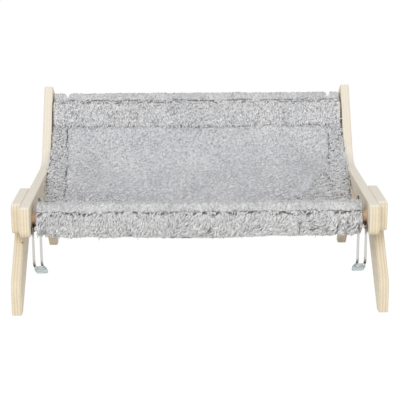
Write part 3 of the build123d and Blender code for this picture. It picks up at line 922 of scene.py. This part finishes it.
def rear_tone(x, up, back):
    """Tone of the rear pile: painted shade makes it darker on the header, and painted light makes
    it palest near the hem.
    """
    return 1.04 - 0.41 * (up > pinch_up) + 0.22 * np.clip((-up - 0.004) / 0.010, 0, 1)


def rear_shade(x, up):
    """Tone of the cloth under the pile, with painted shade at the stitched line and along the hem.
    """
    hem = bump_at(up, rear_hem_up, 0.0012)
    return 0.50 * (1 - 0.95 * rear_groove(x, up)) * (1 - 0.5 * hem)


def rear_keep(x, up, back):
    """Share of the locks that stand: few at the stitched line, none in the notches or under the
    hem."""
    gap = np.where(up > pinch_up + 0.004, notches(x, 0.0050) > 0, 0)
    bare = np.maximum(0.96 * rear_groove(x, up), 0.45 * tousle(x, up)) * (back < 0)
    return 1 - np.maximum(np.maximum(bare, gap), up < rear_hem_up)


def seat_relief(x, place):
    """Short curled pile: small lumps with painted shade between them, slow waves, and a soft hollow
    by each side, darkened by painted shade.
    """
    tall, clear = locks(x, place, 0.0024, 23)
    slow = clouds(x, place, 0.045, 22)
    near_seam = np.clip((np.abs(x) - seam_x + 0.012) / 0.012, 0, 1)
    hollow = bump_at(np.abs(x), 0.146, 0.020) * bump_at(place, 0.075, 0.040)
    height = 0.0010 * tall - 0.0005 + (0.0020 * slow - 0.0034 * hollow) * (1 - near_seam)
    return height, (0.20 + 0.5 * np.clip(clear / 0.3, 0, 1)) * (1 - 0.2 * hollow)


def seat_tone(x, share):
    """Tone of the seat's pile: painted light makes it palest at the top, and painted shade darker
    towards the front and in the soft hollows."""
    hollows = sum(
        dark * bump_at(x, middle, reach) * bump_at(share, along, along_reach)
        for dark, middle, reach, along, along_reach in seat_hollows)
    forwards = 0.47 * np.clip(1.7 * share - 0.1, 0, 1) + 0.13 * np.clip((share - 0.44) / 0.12, 0, 1)
    top = 0.30 * bump_at(share, 0, 0.22) * (1 - 0.5 * bump_at(x, 0.06, 0.06))
    place = sling_length * share
    return 1.0 - forwards + top - 0.18 * hollows + 0.09 * clouds(x + 0.6 * place, place, 0.032, 24)


def border_tone(x, share):
    """Tone of the borders' pile, darker towards the front by painted shade."""
    return 0.90 - 0.28 * np.clip(1.8 * share - 0.3, 0, 1) + 0.04 * (x > 0)


def border_relief(x, place):
    """Lumps of curled pile on the side borders, with painted shade between them."""
    tall, clear = locks(x, place, 0.0036, 31)
    return 0.0025 * tall - 0.0017, 0.04 + 0.46 * np.clip(clear / 0.24, 0, 1)


def underside_relief(x, place):
    """Lumps of curled pile on the underside, with painted shade between them."""
    tall, clear = locks(x, place, 0.0052, 61)
    return 0.0020 * tall, 0.12 + 0.42 * np.clip(clear / 0.2, 0, 1)


def left_seam(share):
    """The left border's inner edge, a little nearer the middle towards the front."""
    return -(seam_x + 0.0018) + 0.0068 * np.clip(share / 0.6, 0, 1) ** 0.8


def right_seam(share):
    """The right border's inner edge: almost straight, then drawn far inwards by a pucker. It is a
    line through the places that right_seam_line names, with a small wobble."""
    wobble = 0.0008 * clouds(share * sling_length, 0 * share, 0.009, 141)
    return np.interp(share, *right_seam_line) + wobble


def straight_edge(x):
    """A straight edge of the sling, as a function of the share along it."""
    return lambda share: x + 0 * share


# The deep colour of each plush is the painted shade of its creases
plushes = {
    "long_plush": plush(
        "long_plush", deep=(0.06, 0.045, 0.042), middle=(0.71, 0.71, 0.725),
        tip=(0.965, 0.972, 1.0), hair_size=0.0010, hair_height=0.0003, curl_width=0.0046,
        curl_length=0.0076, slant=math.radians(28), curl_shade_depth=0.32),
    "short_plush": plush(
        "short_plush", deep=(0.12, 0.12, 0.13), middle=(0.61, 0.615, 0.64),
        tip=(0.965, 0.972, 1.0), hair_size=0.0008, hair_height=0.0004, curl_width=0.0027,
        curl_length=0.0034, slant=math.radians(20), curl_shade_depth=0.19),
}
birch = plywood()
beech = dowel_wood()
bright_steel = wire_steel(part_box("right_hook")[0][2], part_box("right_hook")[1][2])
screw_steel = steel("screw_steel", (0.60, 0.59, 0.57), 0.34)
dark_steel = steel("dark_steel", (0.10, 0.085, 0.075), 0.42)
dull_steel = steel("dull_steel", (0.40, 0.36, 0.32), 0.5)
clear_vinyl = vinyl()

# Finishes of the solids that stay, by how their names end
node_finishes = {
    "side_board": birch, "front_leg": birch, "hook_pin": screw_steel, "hook_sleeve": clear_vinyl,
    "hook": bright_steel, "dowel_screws": screw_steel, "leg_bolt_washers": dark_steel,
    "leg_bolts": dull_steel, "leg_inserts": screw_steel, "front_dowel": beech, "rear_dowel": beech,
}
for node in bpy.data.objects:
    if "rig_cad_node" in node:
        for ending, node_finish in node_finishes.items():
            if node.name.endswith(ending):
                node.data.materials.clear()
                node.data.materials.append(node_finish)
                break


def dressed_casing(name, *cover, flat, held, rests_on, **pile):
    piece, grids = casing(name + "_plush", *cover)
    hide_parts(name)
    tufted = casing_tufts(name + "_pile", grids, **pile)


def dressed_sheet(name, node, edges, pile_edges, low, high, grid, face, relief, flat, held,
                  rests_on, slot="long_plush", **pile):
    piece = cloth(name + "_plush", *edges, low, high, grid, face, relief, slot)
    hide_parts(node)
    height = high if face > 0 else low
    tufted = sheet_tufts(
        name + "_pile", *pile_edges, height, face, relief=relief, slot=slot, **pile)


dressed_casing(
    "front_casing", front_outline, front_dowel, 0.0, front_half, front_shape, front_shade,
    flat=(0.391, 0.122), held="gathered", rests_on=["front_dowel"], keep=front_keep,
    long=front_long, wide=0.0026, stand=front_stand, tone=front_tone, swirl=front_swirl,
    steps=long_steps, seed=70)
dressed_casing(
    "rear_casing", rear_outline, rear_dowel, post_lean, rear_half, rear_shape, rear_shade,
    flat=(0.399, 0.130), held="hung", rests_on=["rear_dowel"], keep=rear_keep, long=rear_long,
    wide=0.0024, stand=rear_stand, tone=rear_tone, swirl=rear_swirl, steps=pale_steps, seed=80)

left_edge, right_edge = straight_edge(-sheet_half), straight_edge(sheet_half)
dressed_sheet(
    "sling_underside", "sling_underside", (left_edge, right_edge), (left_edge, right_edge),
    low=-underside_thickness, high=0.0, grid=0.0030, face=-1, relief=underside_relief,
    flat=(0.400, 0.265), held="hung", rests_on=["front_casing_plush", "rear_casing_plush"],
    spacing=0.0033, long=0.0068, wide=0.0031, stand=0.40, tone=lambda x, share: 0.95 + 0 * x,
    swirl=(1.6, 0.010, 91), seed=90)
dressed_sheet(
    "sling_seat", "sling_seat_panel",
    (lambda s: left_seam(s) + cloth_gap, lambda s: right_seam(s) - cloth_gap),
    (lambda s: left_seam(s) - 0.0003, lambda s: right_seam(s) + 0.0001),
    low=cloth_gap, high=cloth_gap + seat_thickness, grid=0.0015, face=1, relief=seat_relief,
    flat=(0.350, 0.262), held="hung", rests_on=["sling_underside_plush"], slot="short_plush",
    spacing=0.0021, long=0.0026, wide=0.0016, stand=0.32, tone=seat_tone,
    swirl=(2.4, 0.0048, 101), steps=short_steps, seed=100)

# The borders' pile reaches a little past both of their edges
for side, out, seam, edge, flat_width, border_seed in (
        ("right", 1, right_seam, right_edge, 0.040, 111),
        ("left", -1, left_seam, left_edge, 0.026, 121)):
    dressed_sheet(
        side + "_border", side + "_sling_border", (seam, edge),
        (lambda s: seam(s) - out * 0.0010, lambda s: edge(s) + out * 0.0012),
        low=cloth_gap, high=cloth_gap + border_thickness, grid=0.0013, face=1,
        relief=border_relief, flat=(flat_width, 0.262), held="folded",
        rests_on=["sling_underside_plush"], spacing=0.0020, keep=0.84, long=0.0048, wide=0.0024,
        stand=0.30, tone=border_tone, swirl=(2.2, 0.0055, 131), seed=border_seed)


def camera():
    """Camera at the picture's place and angle: yaw and pitch from the level line along +Y, then
    roll."""
    data = bpy.data.cameras.new("camera")
    data.sensor_width = sensor_width
    data.lens = focal_pixels / picture_pixels * sensor_width
    data.clip_start, data.clip_end = 0.05, 50
    turns = (camera_yaw, camera_pitch, camera_roll)
    (cy, sy), (cp, sp), (cr, sr) = ((math.cos(turn), math.sin(turn)) for turn in turns)
    right, up = np.array([cy, sy, 0]), np.array([-sy * sp, cy * sp, cp])
    back = -np.array([-sy * cp, cy * cp, -sp])
    turned_right, turned_up = cr * right + sr * up, cr * up - sr * right
    turn = Matrix(np.stack([turned_right, turned_up, back], 1).tolist()).to_4x4()
    made = put("camera", data)
    made.matrix_world = Matrix.Translation(camera_place) @ turn
    bpy.context.scene.camera = made


def area_light(name, place, aim, size, power, colour):
    """A square soft light at a place, turned to its aim."""
    data = bpy.data.lights.new(name, "AREA")
    data.size, data.energy, data.color = size, power, colour
    made = put(name, data)
    made.location = place
    made.rotation_euler = (Vector(aim) - Vector(place)).to_track_quat("-Z", "Y").to_euler()


def clear_rays(tree):
    """1 for rays from the camera, a mirror or glass, 0 for others."""
    rays = add(tree, "ShaderNodeLightPath").outputs
    either = maths(tree, "MAXIMUM", rays["Is Camera Ray"], rays["Is Glossy Ray"])
    return maths(tree, "MAXIMUM", either, rays["Is Transmission Ray"])


def studio():
    """White room, a pale floor that keeps a faint shadow, and soft lamps. For clear rays the room
    is plain white, and the floor is nearly so, by a mix with white light."""
    world = bpy.data.worlds.new("studio")
    bpy.context.scene.world = world
    world.use_nodes = True
    tree = world.node_tree
    sky = tree.nodes["Background"].inputs
    strength = ranged(tree, clear_rays(tree), 0.0, 1.0, sky_strength, 1.0)
    tree.links.new(strength, sky["Strength"])
    sky["Color"].default_value = rgba(1.0)

    material, tree, shader = finish("studio_floor")
    shader.inputs["Base Color"].default_value = rgba(floor_colour)
    shader.inputs["Roughness"].default_value = 0.9
    share = maths(tree, "MULTIPLY", clear_rays(tree), floor_glow_share)
    white = add(tree, "ShaderNodeEmission", Color=rgba(1.0), Strength=floor_glow).outputs[0]
    mixed = add(tree, "ShaderNodeMixShader", n0=share, n1=shader.outputs[0], n2=white).outputs[0]
    output = next(n for n in tree.nodes if n.type == "OUTPUT_MATERIAL")
    tree.links.new(mixed, output.inputs["Surface"])
    mesh = bpy.data.meshes.new("floor")
    f = floor_half
    mesh.from_pydata([(-f, -f, 0), (f, -f, 0), (f, f, 0), (-f, f, 0)], [], [(0, 1, 2, 3)])
    mesh.materials.append(material)
    put("floor", mesh)
    for lamp in lamps:
        area_light(*lamp)


camera()
studio()
bpy.context.scene.view_settings.view_transform = "Standard"
